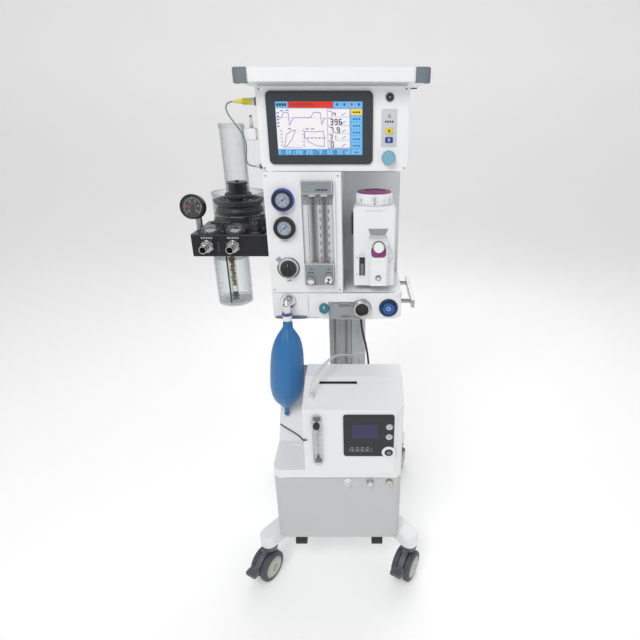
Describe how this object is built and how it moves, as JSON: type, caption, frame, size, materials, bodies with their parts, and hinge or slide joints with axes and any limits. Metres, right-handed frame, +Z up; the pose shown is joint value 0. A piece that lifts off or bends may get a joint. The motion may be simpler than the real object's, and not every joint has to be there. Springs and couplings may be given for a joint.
{
  "type": "anesthesia machine",
  "caption": "Veterinary anesthesia machine on a four-caster stand, with monitor, vaporizer, bellows, breathing bag and an oxygen concentrator on its base.",
  "frame": {"origin": "middle of the whole machine's footprint, on the floor", "axes": "+Z up, -Y towards the user (screen side), +X to the user's right"},
  "size_m": [0.7176, 0.6572, 1.534],
  "materials": {
    "white_paint": "smooth satin white powder coat",
    "white_plastic": "satin",
    "grey_plastic": "satin",
    "dark_plastic": "satin",
    "black_metal": "black anodised satin",
    "aluminium": "brushed, clear anodised",
    "chrome": "polished chrome",
    "clear": "clear, glossy",
    "glass": "glossy",
    "blue_plastic": "satin",
    "teal_plastic": "satin",
    "light_blue_plastic": "satin",
    "yellow_plastic": "satin",
    "red_paint": "satin",
    "blue_rubber": "soft, matt",
    "black_rubber": "matt",
    "caster_plastic": "satin",
    "hose_plastic": "clear, glossy"
  },
  "bodies": {
    "frame": {"absorber_canister": "clear", "bag_arm": "chrome", "base_frame": "white_paint", "bellows": "black_rubber", "bellows_base": "black_metal", "breathing_bag": "blue_rubber", "cabinet": "white_paint", "chrome_ports": "chrome", "circuit_block": "black_metal", "clear_domes": "clear", "column": "aluminium", "concentrator_base": "grey_plastic", "concentrator_cover": "white_plastic", "concentrator_meter": "clear", "concentrator_panel": "dark_plastic", "cord_fittings": "dark_plastic", "flow_block": "grey_plastic", "flow_tubes": "clear", "inner_machinery": "aluminium", "manometer": "black_metal", "monitor_bezel": "dark_plastic", "monitor_housing": "white_plastic", "oxygen_hose": "hose_plastic", "power_lead": "black_rubber", "pressure_gauges": "dark_plastic", "rear_cover": "white_paint", "screen": "glass", "sensor_lead": "grey_plastic", "sensor_set": "grey_plastic", "side_rail": "aluminium", "top_tray": "white_plastic", "vaporizer_body": "white_paint"},
    "encoder_knob": {"encoder_knob": "light_blue_plastic"},
    "yellow_key": {"yellow_key": "yellow_plastic"},
    "blue_key": {"blue_key": "blue_plastic"},
    "selector_knob": {"selector_knob": "dark_plastic"},
    "flow_knob_left": {"flow_knob_left": "chrome"},
    "flow_knob_right": {"flow_knob_right": "dark_plastic"},
    "vaporizer_dial": {"vaporizer_dial": "white_plastic"},
    "filler_cap": {"filler_cap": "white_plastic"},
    "acgo_knob": {"acgo_knob": "teal_plastic"},
    "flush_button": {"flush_button": "blue_plastic"},
    "bellows_disc": {"bellows_disc": "dark_plastic"},
    "manometer_needle": {"manometer_needle": "red_paint"},
    "circuit_lever": {"circuit_lever": "chrome"},
    "apl_knob": {"apl_knob": "dark_plastic"},
    "meter_knob": {"meter_knob": "dark_plastic"},
    "power_button": {"power_button": "dark_plastic"},
    "button_upper": {"button_upper": "grey_plastic"},
    "button_lower": {"button_lower": "grey_plastic"},
    "caster_fork_front_left": {"caster_fork_front_left": "caster_plastic"},
    "caster_wheels_front_left": {"caster_wheels_front_left": "caster_plastic"},
    "brake_pedal_front_left": {"brake_pedal_front_left": "caster_plastic"},
    "caster_fork_front_right": {"caster_fork_front_right": "caster_plastic"},
    "caster_wheels_front_right": {"caster_wheels_front_right": "caster_plastic"},
    "brake_pedal_front_right": {"brake_pedal_front_right": "caster_plastic"},
    "caster_fork_rear_left": {"caster_fork_rear_left": "caster_plastic"},
    "caster_wheels_rear_left": {"caster_wheels_rear_left": "caster_plastic"},
    "caster_fork_rear_right": {"caster_fork_rear_right": "caster_plastic"},
    "caster_wheels_rear_right": {"caster_wheels_rear_right": "caster_plastic"}
  },
  "joints": [
    {"name": "encoder_knob_turn", "type": "hinge", "parent": "frame", "child": "encoder_knob", "pos_m": [0.23417, -0.03161, 1.322], "axis": [0, -1, 0], "continuous": true},
    {"name": "yellow_key_slide", "type": "slide", "parent": "frame", "child": "yellow_key", "axis": [0, 1, 0], "range_m": [0, 0.0015], "stiffness_N_per_m": 800},
    {"name": "blue_key_slide", "type": "slide", "parent": "frame", "child": "blue_key", "axis": [0, 1, 0], "range_m": [0, 0.0015], "stiffness_N_per_m": 800},
    {"name": "selector_knob_turn", "type": "hinge", "parent": "frame", "child": "selector_knob", "pos_m": [-0.05282, -0.03161, 1.014], "axis": [0, -1, 0], "range_deg": [-90, 0]},
    {"name": "flow_knob_left_turn", "type": "hinge", "parent": "frame", "child": "flow_knob_left", "pos_m": [0.01517, -0.03161, 0.988], "axis": [0, -1, 0], "range_deg": [0, 350]},
    {"name": "flow_knob_right_turn", "type": "hinge", "parent": "frame", "child": "flow_knob_right", "pos_m": [0.06617, -0.03161, 0.988], "axis": [0, -1, 0], "range_deg": [0, 350]},
    {"name": "vaporizer_dial_turn", "type": "hinge", "parent": "frame", "child": "vaporizer_dial", "pos_m": [0.19917, 0.04239, 1.196], "axis": [0, 0, 1], "range_deg": [0, 300]},
    {"name": "filler_cap_turn", "type": "hinge", "parent": "frame", "child": "filler_cap", "pos_m": [0.21118, -0.04661, 1.082], "axis": [0, -1, 0], "range_deg": [0, 350]},
    {"name": "acgo_knob_turn", "type": "hinge", "parent": "frame", "child": "acgo_knob", "pos_m": [0.04818, -0.03161, 0.888], "axis": [0, -1, 0], "range_deg": [0, 90]},
    {"name": "flush_button_slide", "type": "slide", "parent": "frame", "child": "flush_button", "axis": [0, 1, 0], "range_m": [0, 0.005], "stiffness_N_per_m": 1500},
    {"name": "bellows_disc_slide", "type": "slide", "parent": "frame", "child": "bellows_disc", "axis": [0, 0, 1], "range_m": [0, 0.12]},
    {"name": "manometer_needle_turn", "type": "hinge", "parent": "frame", "child": "manometer_needle", "pos_m": [-0.32382, 0.01039, 1.185], "axis": [0, -0.9781, 0.2079], "range_deg": [-45, 225]},
    {"name": "circuit_lever_turn", "type": "hinge", "parent": "frame", "child": "circuit_lever", "pos_m": [-0.24532, 0.00639, 1.126], "axis": [0, 0, 1], "range_deg": [0, 90]},
    {"name": "apl_knob_turn", "type": "hinge", "parent": "frame", "child": "apl_knob", "pos_m": [-0.15082, 0.01339, 1.126], "axis": [0, 0, 1], "range_deg": [0, 300]},
    {"name": "meter_knob_turn", "type": "hinge", "parent": "frame", "child": "meter_knob", "pos_m": [0.03367, -0.25661, 0.622], "axis": [0, -1, 0], "range_deg": [0, 350]},
    {"name": "power_button_slide", "type": "slide", "parent": "frame", "child": "power_button", "axis": [0, 1, 0], "range_m": [0, 0.001], "stiffness_N_per_m": 800},
    {"name": "button_upper_slide", "type": "slide", "parent": "frame", "child": "button_upper", "axis": [0, 1, 0], "range_m": [0, 0.001], "stiffness_N_per_m": 800},
    {"name": "button_lower_slide", "type": "slide", "parent": "frame", "child": "button_lower", "axis": [0, 1, 0], "range_m": [0, 0.001], "stiffness_N_per_m": 800},
    {"name": "swivel_front_left", "type": "hinge", "parent": "frame", "child": "caster_fork_front_left", "pos_m": [-0.14383, -0.23161, 0.1], "axis": [0, 0, 1], "continuous": true},
    {"name": "roll_front_left", "type": "hinge", "parent": "caster_fork_front_left", "child": "caster_wheels_front_left", "pos_m": [-0.15482, -0.25066, 0.05], "axis": [0.866, -0.5, 0], "continuous": true},
    {"name": "press_front_left", "type": "hinge", "parent": "caster_fork_front_left", "child": "brake_pedal_front_left", "pos_m": [-0.17183, -0.28011, 0.078], "axis": [0.866, -0.5, 0], "range_deg": [0, 12]},
    {"name": "swivel_front_right", "type": "hinge", "parent": "frame", "child": "caster_fork_front_right", "pos_m": [0.32017, -0.23161, 0.1], "axis": [0, 0, 1], "continuous": true},
    {"name": "roll_front_right", "type": "hinge", "parent": "caster_fork_front_right", "child": "caster_wheels_front_right", "pos_m": [0.30917, -0.25066, 0.05], "axis": [0.866, -0.5, 0], "continuous": true},
    {"name": "press_front_right", "type": "hinge", "parent": "caster_fork_front_right", "child": "brake_pedal_front_right", "pos_m": [0.29218, -0.28011, 0.078], "axis": [0.866, -0.5, 0], "range_deg": [0, 12]},
    {"name": "swivel_rear_left", "type": "hinge", "parent": "frame", "child": "caster_fork_rear_left", "pos_m": [-0.14383, 0.29339, 0.1], "axis": [0, 0, 1], "continuous": true},
    {"name": "roll_rear_left", "type": "hinge", "parent": "caster_fork_rear_left", "child": "caster_wheels_rear_left", "pos_m": [-0.15135, 0.27272, 0.05], "axis": [0.9397, -0.342, 0], "continuous": true},
    {"name": "swivel_rear_right", "type": "hinge", "parent": "frame", "child": "caster_fork_rear_right", "pos_m": [0.32017, 0.29339, 0.1], "axis": [0, 0, 1], "continuous": true},
    {"name": "roll_rear_right", "type": "hinge", "parent": "caster_fork_rear_right", "child": "caster_wheels_rear_right", "pos_m": [0.31265, 0.27272, 0.05], "axis": [0.9397, -0.342, 0], "continuous": true}
  ]
}
